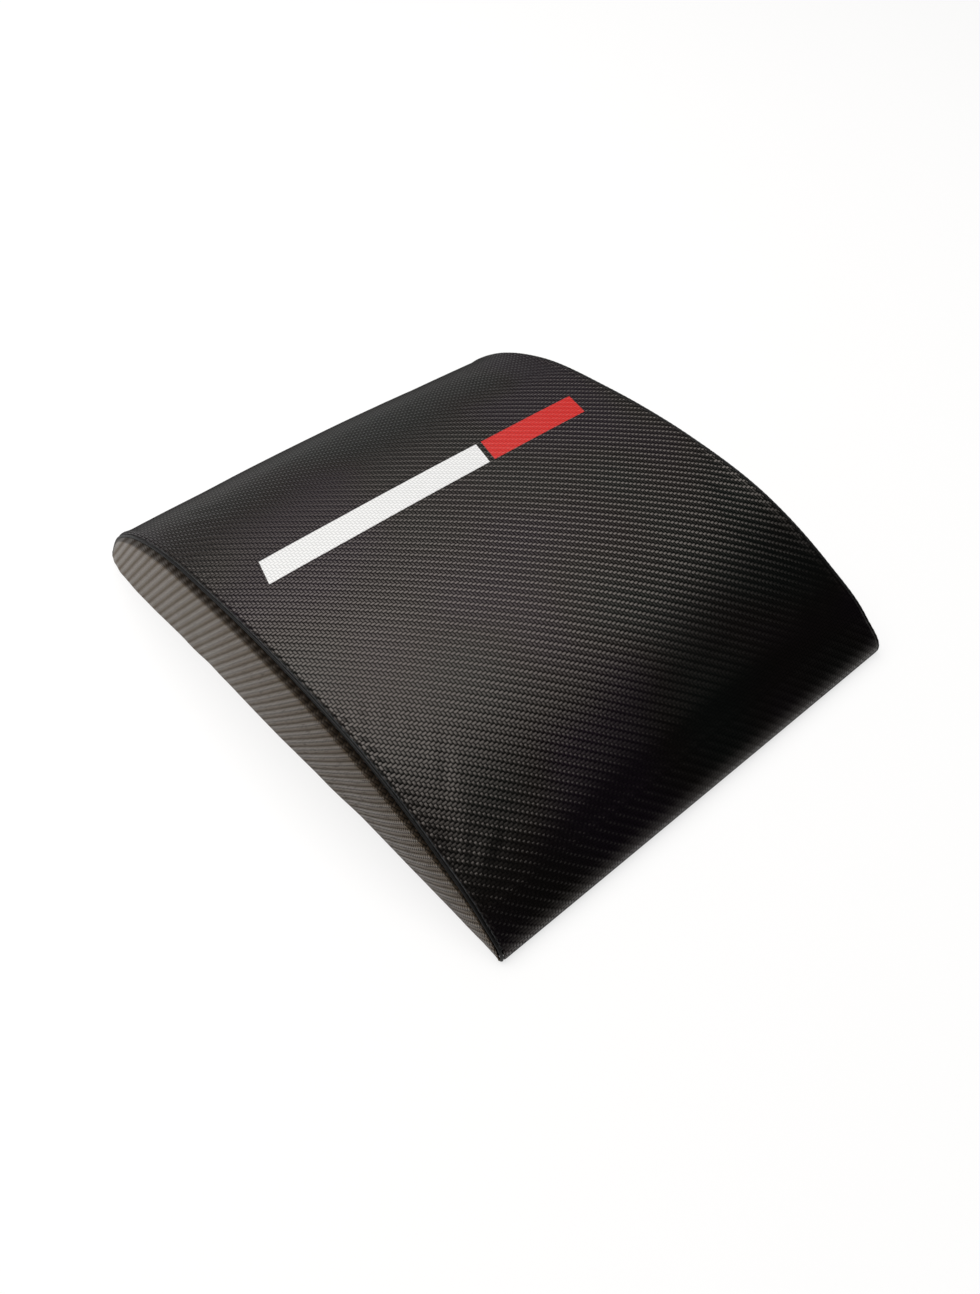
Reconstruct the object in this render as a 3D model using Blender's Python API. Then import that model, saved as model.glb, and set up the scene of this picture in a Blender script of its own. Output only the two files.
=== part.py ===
"""Arched sit-up mat: a firm foam block in a sewn vinyl cover, closed by a coil zip in its base.

X runs across the mat, Y from the thin front edge to the thick rear nose, and Z up. The origin is at
the middle of the base. Lengths are in metres.
"""

import math

import bmesh
import bpy
from mathutils import Vector
from mathutils.geometry import interpolate_bezier

# Whole mat
MAT_LENGTH = 0.385
MAT_WIDTH = 0.306
MAT_HEIGHT = 0.077

# Fit
GAP = 0.0003
CUT_OVERRUN = 0.005

# Side outline: knots over the arch, as shares of the length from the middle and of the height
ARCH_SHARES = (
    (-0.468, 0.296),
    (-0.383, 0.570),
    (-0.252, 0.845),
    (-0.090, 0.977),
    (0.025, 1.000),
    (0.100, 0.990),
    (0.271, 0.897),
    (0.388, 0.668),
    (0.459, 0.391),
    (0.490, 0.169),
)
LIP_ROLL_DEPTH = 0.003
LIP_ROLL_HEIGHT = 0.005
NOSE_ROLL_DEPTH = 0.005
NOSE_ROLL_HEIGHT = 0.005
ROLL_STEPS = 3
SPAN_STEPS = 3

# Cushion form: the top is crowned across the mat and rolls down to the side seams
CROWN_RISE = 0.0021
EDGE_ROLL = 0.0024
EDGE_ROLL_WIDTH = 0.006
FULL_FORM_HEIGHT = 0.030
COLUMN_SHARES = (0.0, 0.32, 0.62, 0.84)
EDGE_COLUMN_SHARES = (0.0, 0.55)

# Cover
VINYL = 0.0012
WELT_RADIUS = 0.0013
WELT_SINK = 0.0006
WELT_SIDES = 8

# Side panels: drawn in under the seam by a rounded shoulder, and tucked in at the base
SIDE_REACH = 0.004
SIDE_START = 0.00165
SHOULDER_DEPTH = 0.009
SHOULDER_SHARE = 0.4
SHOULDER_STEPS = 3
BELLY_SHARE = 0.5
BASE_TUCK = 0.0008

# Base
BASE_FABRIC = 0.0016

# Foam block
FOAM_CLEARANCE = 2 * GAP

# Zip, across the base under the rear of the mat
ZIP_FROM_REAR = 0.045
ZIP_SIDE_MARGIN = 0.003
TAPE_WIDTH = 0.018
TAPE_THICKNESS = 0.0006
TAPE_LIFT = 0.0064
TAPE_FLAT = 0.0045
TAPE_SLOPE = 0.0045
ZIP_OPENING = 0.022
COIL_WIDTH = 0.0024
COIL_HEIGHT = 0.0018
COIL_CHAMFER = 0.0005
COIL_CLOSED_MARGIN = 0.012
STOP_LENGTH = 0.0025

# Zip slider and its pull tab
SLIDER_LENGTH = 0.009
SLIDER_PLATE = 0.001
SLIDER_FLANGE = 0.0011
SLIDER_POST_WIDTH = 0.001
SLIDER_POST_LENGTH = 0.0025
BAIL_WIDTH = 0.0016
BAIL_THICKNESS = 0.0009
BAIL_OPENING_LENGTH = 0.0036
BAIL_OPENING_HEIGHT = 0.0015
TAB_LENGTH = 0.022
TAB_WIDTH = 0.0054
TAB_THICKNESS = 0.001
TAB_WINDOW_WIDTH = 0.0026
TAB_WINDOW_LENGTH = 0.005
TAB_CORNER = 0.0014

# Places that follow from the sizes above
HALF_LENGTH = MAT_LENGTH / 2
HEM_LIFT = BASE_FABRIC - VINYL
WELT_FIT = WELT_RADIUS + GAP
SEAM_X = MAT_WIDTH / 2 - SIDE_REACH
TOP_EDGE_X = SEAM_X - WELT_FIT
POST_SLOT = SLIDER_POST_WIDTH / 2 + GAP
COIL_OPEN_MARGIN = TAB_LENGTH - SLIDER_LENGTH / 2
ZIP_Y = HALF_LENGTH - ZIP_FROM_REAR
COIL_TOP = TAPE_LIFT - GAP
COIL_BOTTOM = COIL_TOP - COIL_HEIGHT
PLATE_BOTTOM = COIL_BOTTOM - GAP - SLIDER_PLATE
FLANGE_INSIDE = POST_SLOT + COIL_WIDTH + GAP
FLANGE_OUTSIDE = FLANGE_INSIDE + SLIDER_FLANGE
INNER_PLATE_BOTTOM = TAPE_LIFT + TAPE_THICKNESS + GAP
INNER_PLATE_TOP = INNER_PLATE_BOTTOM + SLIDER_PLATE


def clear_scene():
    for obj in list(bpy.data.objects):
        bpy.data.objects.remove(obj, do_unlink=True)


def finish_material(name, colour, roughness, metallic):
    material = bpy.data.materials.new(name)
    material.use_nodes = True
    shader = material.node_tree.nodes["Principled BSDF"]
    shader.inputs["Base Color"].default_value = (*colour, 1)
    shader.inputs["Roughness"].default_value = roughness
    shader.inputs["Metallic"].default_value = metallic
    return material


def carbon_vinyl(name):
    return finish_material(name + "_vinyl", (0.018, 0.018, 0.021), 0.38, 0)


def welt_vinyl(name):
    return finish_material(name + "_vinyl", (0.010, 0.010, 0.012), 0.42, 0)


def foam(name):
    return finish_material(name + "_foam", (0.22, 0.22, 0.23), 0.95, 0)


def grip_fabric(name):
    return finish_material(name + "_fabric", (0.020, 0.020, 0.020), 0.85, 0)


def woven_tape(name):
    return finish_material(name + "_polyester", (0.015, 0.015, 0.016), 0.80, 0)


def coil_nylon(name):
    return finish_material(name + "_nylon", (0.020, 0.020, 0.022), 0.35, 0)


def zip_metal(name):
    return finish_material(name + "_metal", (0.060, 0.060, 0.065), 0.35, 1)


def new_piece(name, mesh_builder, finish, location=(0, 0, 0), parent=None):
    """An object of this mesh, with its own material, shaded smooth where its faces meet gently."""
    mesh = bpy.data.meshes.new(name)
    mesh_builder.to_mesh(mesh)
    mesh_builder.free()
    mesh.shade_smooth()
    mesh.set_sharp_from_angle(angle=math.radians(35))
    obj = bpy.data.objects.new(name, mesh)
    obj.data.materials.append(finish(name))
    obj.location = location
    obj.parent = parent
    bpy.context.scene.collection.objects.link(obj)
    return obj


def sheet_mesh(rows):
    """An open sheet of quads through rows of points."""
    sheet = bmesh.new()
    grid = [[sheet.verts.new(point) for point in row] for row in rows]
    for lower, upper in zip(grid, grid[1:]):
        for corner in range(len(lower) - 1):
            quad = (lower[corner], lower[corner + 1], upper[corner + 1], upper[corner])
            sheet.faces.new(quad)
    return sheet


def loft_mesh(rings):
    """A closed solid through rings of as many points each, with a flat face at both ends."""
    solid = bmesh.new()
    loops = [[solid.verts.new(point) for point in ring] for ring in rings]
    count = len(loops[0])
    for lower, upper in zip(loops, loops[1:]):
        for corner in range(count):
            following = (corner + 1) % count
            quad = (lower[corner], lower[following], upper[following], upper[corner])
            solid.faces.new(quad)
    solid.faces.new(loops[0])
    solid.faces.new(loops[-1])
    bmesh.ops.recalc_face_normals(solid, faces=solid.faces)
    return solid


def bar_mesh(section, start_x, end_x):
    """A bar along X of a section given as (y, z) points."""
    ends = (start_x, end_x)
    return loft_mesh([[Vector((x, y, z)) for y, z in section] for x in ends])


def plate_mesh(outline, bottom, top):
    """An upright plate of an outline given as (x, y) points."""
    return loft_mesh([[Vector((x, y, z)) for x, y in outline] for z in (bottom, top)])


def give_thickness(obj, thickness):
    """The sheet becomes a skin of this thickness, inwards from the face that shows."""
    wall = obj.modifiers.new("wall", "SOLIDIFY")
    wall.thickness = thickness
    wall.offset = -1
    wall.use_even_offset = True
    return obj


def box_section(half_width, bottom, top):
    return ((-half_width, bottom), (half_width, bottom), (half_width, top), (-half_width, top))


def smooth_curve(knots, first_heading, last_heading):
    """Points on a smooth curve through the knots, which starts and ends in the headings given."""
    headings = [first_heading]
    for before, knot, after in zip(knots, knots[1:], knots[2:]):
        step_in = knot - before
        step_out = after - knot
        turn = step_in.normalized() * step_out.length + step_out.normalized() * step_in.length
        headings.append(turn.normalized())
    headings.append(last_heading)
    points = []
    for index in range(len(knots) - 1):
        start, end = knots[index], knots[index + 1]
        reach = (end - start).length / 3
        leaving = start + headings[index] * reach
        arriving = end - headings[index + 1] * reach
        points += interpolate_bezier(start, leaving, arriving, end, SPAN_STEPS + 1)[:-1]
    return points + [knots[-1]]


def rolled_edge(end_y, inward, depth, height):
    """Points from the base edge out and up to the mat's end, where the cover rolls under."""
    points = []
    for step in range(ROLL_STEPS):
        angle = math.pi / 2 * step / ROLL_STEPS
        y = end_y + inward * depth * (1 - math.sin(angle))
        z = HEM_LIFT + (height - HEM_LIFT) * (1 - math.cos(angle))
        points.append(Vector((0, y, z)))
    return points


def mat_outline():
    """The cover's outline at mid-width, from the front base edge over the arch to the rear one."""
    front = rolled_edge(-HALF_LENGTH, 1, LIP_ROLL_DEPTH, LIP_ROLL_HEIGHT)
    rear = rolled_edge(HALF_LENGTH, -1, NOSE_ROLL_DEPTH, NOSE_ROLL_HEIGHT)
    knots = [Vector((0, -HALF_LENGTH, LIP_ROLL_HEIGHT))]
    for length_share, height_share in ARCH_SHARES:
        knots.append(Vector((0, length_share * MAT_LENGTH, height_share * MAT_HEIGHT)))
    knots.append(Vector((0, HALF_LENGTH, NOSE_ROLL_HEIGHT)))
    up = Vector((0, 0, 1))
    return front + smooth_curve(knots, up, -up) + rear[::-1]


OUTLINE = mat_outline()
FACE_STATIONS = range(ROLL_STEPS, len(OUTLINE) - ROLL_STEPS)


def outward(station):
    """The direction square to the outline, out of the mat."""
    before = OUTLINE[max(station - 1, 0)]
    after = OUTLINE[min(station + 1, len(OUTLINE) - 1)]
    along = (after - before).normalized()
    return Vector((0, -along.z, along.y))


def form(station):
    """How much of the cushion form shows here, from 0 at the base edges to 1 on the arch."""
    height = OUTLINE[station].z - OUTLINE[0].z
    return math.sin(math.pi / 2 * min(height / FULL_FORM_HEIGHT, 1))


def blend(at_ends, on_arch, station):
    return at_ends + (on_arch - at_ends) * form(station)


def top_depth(x):
    """How far the top lies under the outline of mid-width, on the arch."""
    rolled = max(abs(x) - (SEAM_X - EDGE_ROLL_WIDTH), 0) / EDGE_ROLL_WIDTH
    return CROWN_RISE * (x / SEAM_X) ** 2 + EDGE_ROLL * rolled**2


def top_columns():
    """Places across the top panel, from its left seam to its right one."""
    roll_start = SEAM_X - EDGE_ROLL_WIDTH
    places = [share * roll_start for share in COLUMN_SHARES]
    for share in EDGE_COLUMN_SHARES:
        places.append(roll_start + share * (TOP_EDGE_X - roll_start))
    places.append(TOP_EDGE_X)
    return [-x for x in places[:0:-1]] + places


def top_point(station, x):
    point = OUTLINE[station] - outward(station) * top_depth(x) * form(station)
    return Vector((x, point.y, point.z))


def seam_point(station):
    """The middle of the left welt."""
    on_arch = top_depth(TOP_EDGE_X) + WELT_SINK
    point = OUTLINE[station] - outward(station) * blend(WELT_RADIUS, on_arch, station)
    return Vector((-SEAM_X, point.y, point.z))


def side_column(station):
    """Points down the left side panel, from under the welt to the base."""
    top = seam_point(station) - outward(station) * blend(WELT_FIT, WELT_FIT / 2, station)
    reach = blend(WELT_FIT + VINYL, SIDE_REACH, station)
    start = blend(WELT_FIT + VINYL, SIDE_START, station)
    first_y, last_y = (
        seam_point(end).y - outward(end).y * WELT_FIT for end in (FACE_STATIONS[0], FACE_STATIONS[-1])
    )
    along = (top.y - first_y) / (last_y - first_y)
    base_y = OUTLINE[0].y + (OUTLINE[-1].y - OUTLINE[0].y) * along
    height = top.z - HEM_LIFT
    shoulder = min(SHOULDER_DEPTH, SHOULDER_SHARE * height)
    drops = []
    for step in range(SHOULDER_STEPS + 1):
        angle = math.pi / 2 * step / SHOULDER_STEPS
        out = start + (reach - start) * math.sin(angle)
        drops.append((out, shoulder * (1 - math.cos(angle))))
    drops.append((reach, shoulder + (height - shoulder) * BELLY_SHARE))
    drops.append((reach - BASE_TUCK, height))
    points = []
    for out, drop in drops:
        y = top.y + (base_y - top.y) * drop / height
        points.append(Vector((-SEAM_X - out, y, top.z - drop)))
    return points


def mirrored(points):
    return [Vector((-point.x, point.y, point.z)) for point in points]


def make_top_panel():
    columns = top_columns()
    rows = [[top_point(station, x) for x in columns] for station in range(len(OUTLINE))]
    return give_thickness(new_piece("top_panel", sheet_mesh(rows), carbon_vinyl), VINYL)


def make_side_panels():
    columns = [side_column(station) for station in FACE_STATIONS]
    left = new_piece("left_side_panel", sheet_mesh(columns[::-1]), carbon_vinyl)
    right_columns = [mirrored(column) for column in columns]
    right = new_piece("right_side_panel", sheet_mesh(right_columns), carbon_vinyl)
    return [give_thickness(panel, VINYL) for panel in (left, right)]


def make_welt(name, points):
    curve = bpy.data.curves.new(name, "CURVE")
    curve.dimensions = "3D"
    curve.bevel_depth = WELT_RADIUS
    curve.bevel_resolution = (WELT_SIDES - 4) // 2
    curve.use_fill_caps = True
    path = curve.splines.new("POLY")
    path.points.add(len(points) - 1)
    for place, point in zip(path.points, points):
        place.co = (*point, 1)
    curve.materials.append(welt_vinyl(name))
    welt = bpy.data.objects.new(name, curve)
    bpy.context.scene.collection.objects.link(welt)
    return welt


def make_welts():
    left = [seam_point(station) for station in range(1, len(OUTLINE) - 1)]
    make_welt("left_seam_welt", left)
    make_welt("right_seam_welt", mirrored(left))


def base_edge():
    """The left edge of the base fabric, from front to rear."""
    edge = []
    for station in FACE_STATIONS:
        foot = side_column(station)[-1]
        edge.append(Vector((foot.x + VINYL + GAP, foot.y)))
    return edge


def base_outline(front_y, rear_y):
    """The outline of the base fabric between two lines across the mat."""
    edge = base_edge()

    def edge_x(y):
        for near, far in zip(edge, edge[1:]):
            if y <= far.y:
                return near.x + (far.x - near.x) * max(y - near.y, 0) / (far.y - near.y)
        return edge[-1].x

    between = [point for point in edge if front_y < point.y < rear_y]
    left = [(edge_x(front_y), front_y), *between, (edge_x(rear_y), rear_y)]
    return [(x, y) for x, y in left] + [(-x, y) for x, y in left[::-1]]


def make_base_panels():
    last = len(OUTLINE) - 1
    front_y = (OUTLINE[0] - outward(0) * VINYL).y + GAP
    rear_y = (OUTLINE[last] - outward(last) * VINYL).y - GAP
    main = base_outline(front_y, ZIP_Y - ZIP_OPENING / 2)
    rear = base_outline(ZIP_Y + ZIP_OPENING / 2, rear_y)
    new_piece("base_main_panel", plate_mesh(main, 0, BASE_FABRIC), grip_fabric)
    new_piece("base_rear_panel", plate_mesh(rear, 0, BASE_FABRIC), grip_fabric)


def shrink(solid, depth):
    """Moves every face of a closed mesh inwards by this depth."""
    solid.normal_update()
    moves = [vert.normal * vert.calc_shell_factor() * depth for vert in solid.verts]
    for vert, move in zip(solid.verts, moves):
        vert.co -= move


def tape_line():
    """The underside of the rear tape, as (distance from the zip's middle, height) points."""
    slope_start = POST_SLOT + TAPE_FLAT
    slope_end = slope_start + TAPE_SLOPE
    seat = BASE_FABRIC + GAP
    return (
        (POST_SLOT, TAPE_LIFT),
        (slope_start, TAPE_LIFT),
        (slope_end, seat),
        (POST_SLOT + TAPE_WIDTH, seat),
    )


def make_foam_core():
    columns = top_columns()
    rings = []
    for station in FACE_STATIONS:
        left = side_column(station)
        top = [top_point(station, x) for x in columns]
        rings.append(left[::-1] + top + mirrored(left))
    block = loft_mesh(rings)
    shrink(block, VINYL + FOAM_CLEARANCE)
    core = new_piece("foam_core", block, foam)

    clear = TAPE_THICKNESS + GAP
    slope_start, slope_end, outer_edge = (width for width, _ in tape_line()[1:])
    groove_top = INNER_PLATE_TOP + GAP
    half = [
        (outer_edge + GAP, -CUT_OVERRUN),
        (outer_edge + GAP, BASE_FABRIC + GAP + clear),
        (slope_end + clear, BASE_FABRIC + GAP + clear),
        (slope_start + clear, groove_top),
    ]
    section = half + [(-width, height) for width, height in half[::-1]]
    reach = MAT_WIDTH / 2 + CUT_OVERRUN
    cutter = new_piece("zip_groove", bar_mesh(section, -reach, reach), foam, (0, ZIP_Y, 0))
    cutter.hide_render = True
    cutter.display_type = "WIRE"
    groove = core.modifiers.new("zip_groove", "BOOLEAN")
    groove.operation = "DIFFERENCE"
    groove.solver = "EXACT"
    groove.object = cutter


def zip_half_length():
    """Half the zip, which ends just inside the narrower end of the base's opening."""
    outline = base_outline(ZIP_Y - ZIP_OPENING / 2, ZIP_Y + ZIP_OPENING / 2)
    return min(abs(x) for x, _ in outline) - ZIP_SIDE_MARGIN


def make_zip_tape(name, side):
    lower = tape_line()
    upper = [(width, height + TAPE_THICKNESS) for width, height in lower]
    section = [(side * width, height) for width, height in (*lower, *upper[::-1])]
    reach = zip_half_length()
    new_piece(name, bar_mesh(section, -reach, reach), woven_tape, (0, ZIP_Y, 0))


def coil_section(side, bottom, top):
    """A bar with chamfered lower corners beside the slider's post."""
    inner, outer = POST_SLOT, POST_SLOT + COIL_WIDTH
    half = (
        (inner, top),
        (inner, bottom + COIL_CHAMFER),
        (inner + COIL_CHAMFER, bottom),
        (outer - COIL_CHAMFER, bottom),
        (outer, bottom + COIL_CHAMFER),
        (outer, top),
    )
    return [(side * width, height) for width, height in half]


def coil_ends():
    """The coils' ends. At the open end the pull tab still lies within the tapes."""
    half = zip_half_length()
    return COIL_OPEN_MARGIN - half, half - COIL_CLOSED_MARGIN


def make_zip_coil(name, side):
    section = coil_section(side, COIL_BOTTOM, COIL_TOP)
    new_piece(name, bar_mesh(section, *coil_ends()), coil_nylon, (0, ZIP_Y, 0))


def make_zip_top_stop(name, side):
    start = coil_ends()[1] + GAP
    section = coil_section(side, COIL_BOTTOM, COIL_TOP)
    stop = bar_mesh(section, start, start + STOP_LENGTH)
    new_piece(name, stop, zip_metal, (0, ZIP_Y, 0))


def make_zip_bottom_stop():
    start = coil_ends()[0] - GAP
    section = box_section(POST_SLOT + COIL_WIDTH, COIL_BOTTOM, COIL_TOP)
    stop = bar_mesh(section, start - STOP_LENGTH, start)
    new_piece("zip_bottom_stop", stop, zip_metal, (0, ZIP_Y, 0))


def moved_section(section, height):
    return [(y, z - height) for y, z in section]


def make_zip_slider():
    """Two plates joined by a post between the coils, with a bail under the outer plate."""
    half = SLIDER_LENGTH / 2
    place = Vector((coil_ends()[1] - half, ZIP_Y, PLATE_BOTTOM))
    trough = (
        (FLANGE_OUTSIDE, PLATE_BOTTOM),
        (FLANGE_OUTSIDE, COIL_TOP - GAP),
        (FLANGE_INSIDE, COIL_TOP - GAP),
        (FLANGE_INSIDE, COIL_BOTTOM - GAP),
    )
    outer = list(trough) + [(-y, z) for y, z in trough[::-1]]
    inner = box_section(FLANGE_OUTSIDE, INNER_PLATE_BOTTOM, INNER_PLATE_TOP)
    slider_mesh = bar_mesh(moved_section(outer, PLATE_BOTTOM), -half, half)
    slider = new_piece("zip_slider", slider_mesh, zip_metal, place)

    post_bottom = PLATE_BOTTOM + SLIDER_PLATE / 2
    post_top = INNER_PLATE_BOTTOM + SLIDER_PLATE / 2
    post = box_section(SLIDER_POST_WIDTH / 2, post_bottom, post_top)
    bail_bottom = -BAIL_OPENING_HEIGHT - BAIL_THICKNESS
    bail_half = BAIL_OPENING_LENGTH / 2 + BAIL_THICKNESS
    joins = (
        ("inner_plate", moved_section(inner, PLATE_BOTTOM), -half, half),
        ("post", moved_section(post, PLATE_BOTTOM), half - SLIDER_POST_LENGTH, half),
        ("bail", box_section(BAIL_WIDTH / 2, bail_bottom, SLIDER_PLATE / 2), -bail_half, bail_half),
    )
    for name, section, start, end in joins:
        add_to(slider, name, bar_mesh(section, start, end), "UNION")
    opening_half = BAIL_OPENING_LENGTH / 2
    opening = box_section(BAIL_WIDTH, -BAIL_OPENING_HEIGHT, 0)
    add_to(slider, "bail_opening", bar_mesh(opening, -opening_half, opening_half), "DIFFERENCE")
    return slider


def add_to(obj, name, shape, operation):
    """Joins a shape to an object, or cuts it out, in the object's own place."""
    tool = new_piece(obj.name + "_" + name, shape, zip_metal, parent=obj)
    tool.hide_render = True
    tool.display_type = "WIRE"
    change = obj.modifiers.new(name, "BOOLEAN")
    change.operation = operation
    change.solver = "EXACT"
    change.object = tool


def make_zip_pull_tab(slider):
    """A flat tab whose end bar turns in the bail. It lies along the zip, towards its open end."""
    bar_half = TAB_THICKNESS / 2
    half_width = TAB_WIDTH / 2
    outline = (
        (bar_half, -half_width),
        (bar_half, half_width),
        (TAB_CORNER - TAB_LENGTH, half_width),
        (-TAB_LENGTH, half_width - TAB_CORNER),
        (-TAB_LENGTH, TAB_CORNER - half_width),
        (TAB_CORNER - TAB_LENGTH, -half_width),
    )
    place = (0, 0, -BAIL_OPENING_HEIGHT / 2)
    tab_mesh = plate_mesh(outline, -bar_half, bar_half)
    tab = new_piece("zip_pull_tab", tab_mesh, zip_metal, place, slider)
    window = box_section(TAB_WINDOW_WIDTH / 2, -TAB_THICKNESS, TAB_THICKNESS)
    window_mesh = bar_mesh(window, -bar_half - TAB_WINDOW_LENGTH, -bar_half)
    add_to(tab, "window", window_mesh, "DIFFERENCE")


def make_zip():
    for word, side in (("front", -1), ("rear", 1)):
        make_zip_tape(f"zip_{word}_tape", side)
        make_zip_coil(f"zip_{word}_coil", side)
        make_zip_top_stop(f"zip_{word}_top_stop", side)
    make_zip_bottom_stop()
    make_zip_pull_tab(make_zip_slider())


clear_scene()
make_foam_core()
make_top_panel()
make_side_panels()
make_welts()
make_base_panels()
make_zip()
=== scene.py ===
"""The looks of an arched sit-up mat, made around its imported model.

Lengths are in metres, in the model's frame: X across the mat, Y from the thin front edge to the thick
rear nose, and Z up from the surface that the mat rests on.
"""

import bisect
import math

import bpy
from mathutils import Matrix, Vector, noise
from mathutils.geometry import interpolate_bezier


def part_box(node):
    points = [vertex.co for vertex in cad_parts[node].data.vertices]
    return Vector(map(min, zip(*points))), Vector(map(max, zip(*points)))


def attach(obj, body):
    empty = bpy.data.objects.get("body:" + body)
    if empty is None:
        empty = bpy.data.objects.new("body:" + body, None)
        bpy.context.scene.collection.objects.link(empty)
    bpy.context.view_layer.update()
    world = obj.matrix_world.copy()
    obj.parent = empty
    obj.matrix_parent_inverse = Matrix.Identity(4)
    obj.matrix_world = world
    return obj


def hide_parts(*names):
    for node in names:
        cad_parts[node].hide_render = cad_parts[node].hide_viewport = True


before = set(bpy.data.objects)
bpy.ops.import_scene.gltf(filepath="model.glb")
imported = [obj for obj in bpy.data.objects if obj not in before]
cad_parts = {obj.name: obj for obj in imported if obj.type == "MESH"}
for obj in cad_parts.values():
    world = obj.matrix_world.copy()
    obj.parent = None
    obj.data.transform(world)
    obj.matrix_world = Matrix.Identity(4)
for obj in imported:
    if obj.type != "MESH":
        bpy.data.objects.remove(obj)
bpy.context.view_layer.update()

# Whole mat, from the model
MAT_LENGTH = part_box("top_panel")[1].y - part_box("top_panel")[0].y
MAT_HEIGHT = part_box("top_panel")[1].z
HALF_LENGTH = MAT_LENGTH / 2
SEAM_X = (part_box("right_seam_welt")[0].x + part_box("right_seam_welt")[1].x) / 2
HEM_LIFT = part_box("top_panel")[0].z
BASE_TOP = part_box("base_main_panel")[1].z
OPENING_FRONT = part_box("base_main_panel")[1].y
OPENING_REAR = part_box("base_rear_panel")[0].y
TAPE_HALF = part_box("zip_front_tape")[1].x
TAPE_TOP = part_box("zip_front_tape")[1].z
COIL_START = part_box("zip_front_coil")[0]
COIL_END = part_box("zip_front_coil")[1]
REAR_COIL_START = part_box("zip_rear_coil")[0]

# Outline of the side. Knots over the arch are shares of the length, from the middle, and of the height.
ARCH_SHARES = (
    (-0.468, 0.296),
    (-0.383, 0.570),
    (-0.252, 0.845),
    (-0.090, 0.977),
    (0.025, 1.000),
    (0.100, 0.990),
    (0.271, 0.897),
    (0.388, 0.668),
    (0.459, 0.391),
    (0.490, 0.169),
)
SPAN_STEPS = 24

# Rolled edges at the front and the rear, and how long each is beside its own chord
LIP_ROLL_DEPTH = 0.0020
NOSE_ROLL_DEPTH = 0.005
ROLL_HEIGHT = 0.005
LIP_ROLL_OVER_CHORD = 1.05
NOSE_ROLL_OVER_CHORD = 1.08
ROLL_STEPS = 10

# Cushion form
CROWN_RISE = 0.0021
EDGE_ROLL = 0.0018
EDGE_ROLL_WIDTH = 0.003
FULL_FORM_HEIGHT = 0.030
SEAM_FOLD = 0.0003
SEAM_FOLD_WIDTH = 0.0014
PUCKER = 0.00022
PUCKER_REACH = 0.011
PUCKER_PITCH = 0.014
PUCKER_FADE = 2
PUCKER_NOISE_SIDE = 3
PUCKER_NOISE_LAYER = 7.5
DENT = 0.00025
DENT_SIZE = 0.055
DENT_NOISE_LAYER = 0.5

# Cloth: how slack the cover starts, how wide its rim is held, and how it is filled out
SLACK = 0.0007
SLACK_SPREAD = 0.005
HELD_RIM = 0.0015
HELD_HEM = 0.030
CLOTH_CELLS = (66, 103)
CLOTH_PRESSURE = 15
CLOTH_MASS = 0.002
CLOTH_QUALITY = 3
CLOTH_FRAMES = 20

# Cover and foam
VINYL = 0.0012
COVER_CELLS = (132, 206)
FOAM_SIDE = 0.006
FOAM_GAP = 0.0004
WELT_RADIUS = 0.0009
WELT_SINK = 0.0012
WELT_GAP = 0.0003
WELT_END = 0.0006
WELT_CELLS = (14, 400)
STITCH_PITCH = 0.0040
STITCH_DIP = 0.00010
TOP_EDGE_X = SEAM_X - WELT_RADIUS - WELT_GAP

# Side panels: how far the panel stands out from the seam, below its shoulder and at its foot
SIDE_REACH = 0.0040
SIDE_END_REACH = 0.0016
SIDE_START = 0.0010
SHOULDER_DEPTH = 0.0066
SHOULDER_END_DEPTH = 0.0020
SHOULDER_BEND_SHARE = 0.52
SHOULDER_SPREAD_SHARE = 0.36
FULL_SHOULDER_HEIGHTS = (0.022, 0.066)
SEAM_TUCK_SHARE = 0.6
FOOT_SWEEP = 1.6
BELLY = 0.0005
SIDE_CELLS = (190, 36)
FOOT_WAVE = 0.0003
FOOT_WAVE_PITCH = 0.018
FOOT_NOISE_LAYER = 2.5
FOOT_PLACE_SHARES = (-0.50, -0.45, -0.22, -0.10, 0.0, 0.17, 0.25, 0.40, 0.46, 0.50)
FOOT_REACHES = (0.0006, 0.0003, 0.0006, 0.0020, 0.0028, 0.0028, 0.0036, 0.0048, 0.0040, 0.0020)

# Vinyl
VINYL_IOR = 1.6
VINYL_ROUGHNESS = 0.30
ROUGHNESS_CHANGE = 0.06
ROUGHNESS_SCALE = 26
TINT_SCALE = 11
TOP_SHEEN = (1.0, 0.89, 0.82)
TOP_TINTS = (
    (0.36, (0.0056, 0.0014, 0.0072)),
    (0.50, (0.0034, 0.0018, 0.0014)),
    (0.66, (0.0012, 0.0040, 0.0030)),
)
# Side panels: the top's black vinyl, coloured taupe and given a warm sheen as a painted reflection of the
# pale floor
SIDE_FLOOR_REFLECTION_SHEEN = (1.0, 0.68, 0.40)
SIDE_FLOOR_REFLECTION_TINTS = (
    (0.35, (0.056, 0.038, 0.022)),
    (0.55, (0.052, 0.037, 0.020)),
    (0.70, (0.050, 0.039, 0.020)),
)
DEEP_SHADOW = (0.002, 0.002, 0.002)

# Embossed twill: two yarns over, two under
TWILL_REPEAT = 4
YARN = 0.00169
WARP_EDGE_SLOPE = 0.12
WEFT_EDGE_SLOPE = 0.09
FLOAT_END_SLOPE = 0.30
WEFT_LEAN = 0.23
GROOVE_START = 0.50
FLOAT_END_START = 0.62
GROOVE_SHADOW = 0.97
GRAZING_START = 0.50
GRAZING_SHADOW = 0.90
FILAMENTS = 6
FILAMENT_SLOPE = 0.05
STREAK_WIDTH = 0.0007
STREAK_LENGTH = 0.014
STREAK_LEVELS = (0.52, 0.72)
STREAK_SHADOW = 0.6
LIP_RELIEF = 0.35
LIP_RELIEF_PLACES = (0.012, 0.058)
LIP_SHADOW = 0.68
LIP_SHADOW_START = (0.005, 0.010)
LIP_SHADOW_END = (0.055, 0.105)
LIP_LEAN = 0.28
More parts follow.
